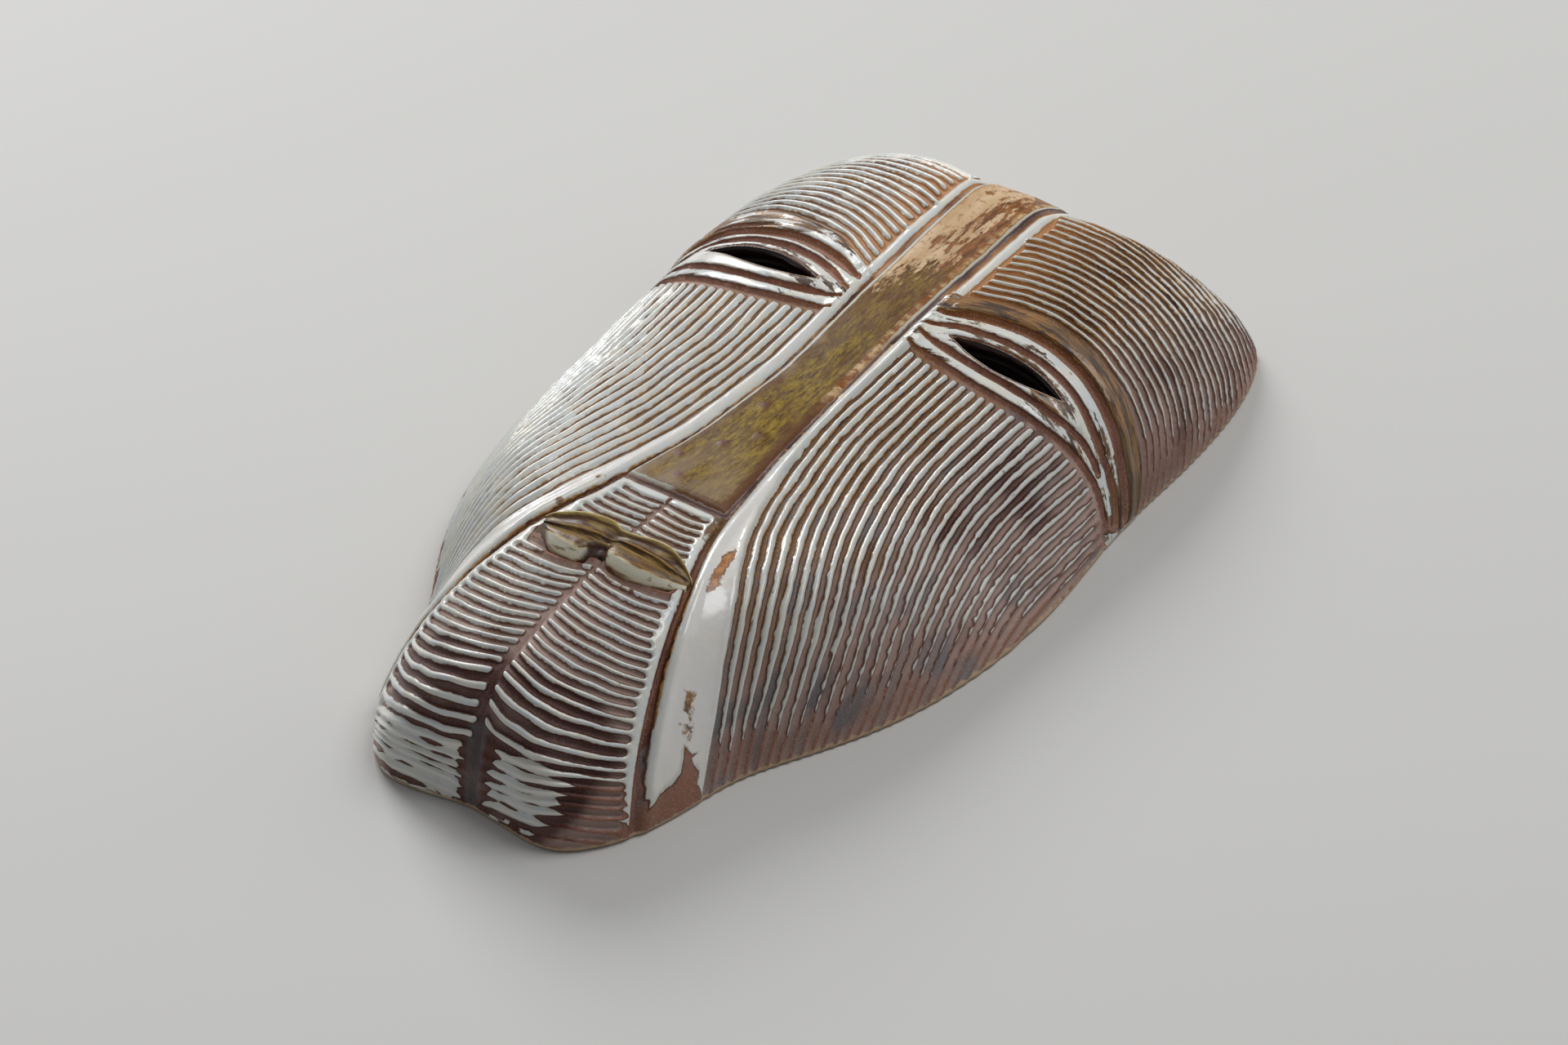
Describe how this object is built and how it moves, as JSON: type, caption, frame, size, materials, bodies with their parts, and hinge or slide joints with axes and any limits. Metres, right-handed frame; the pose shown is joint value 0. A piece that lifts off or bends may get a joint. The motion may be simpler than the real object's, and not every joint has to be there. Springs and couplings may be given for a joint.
{
  "type": "wall mask",
  "caption": "Long hollow ceramic face mask with a straight nose strip, slit eyes, applied lips and combed grooves all over, lying on its back rim.",
  "frame": {"origin": "centre of the bounding box at the flat back rim, z = 0 on the rim's plane", "axes": "+Z out of the face, +Y from the chin to the forehead, +X across the face to the viewer's right when the forehead is up"},
  "size_m": [0.1678, 0.2922, 0.0497],
  "materials": {
    "combed_glaze": "fired stoneware: glossy bluish white glaze on the raised ridges with amber edges, satin purple-brown slip in the combed grooves and along the rim, olive and rust-brown on the nose strip, olive on the lips, bare brown clay inside"
  },
  "bodies": {
    "root": {"mask_shell": "combed_glaze"}
  },
  "joints": []
}
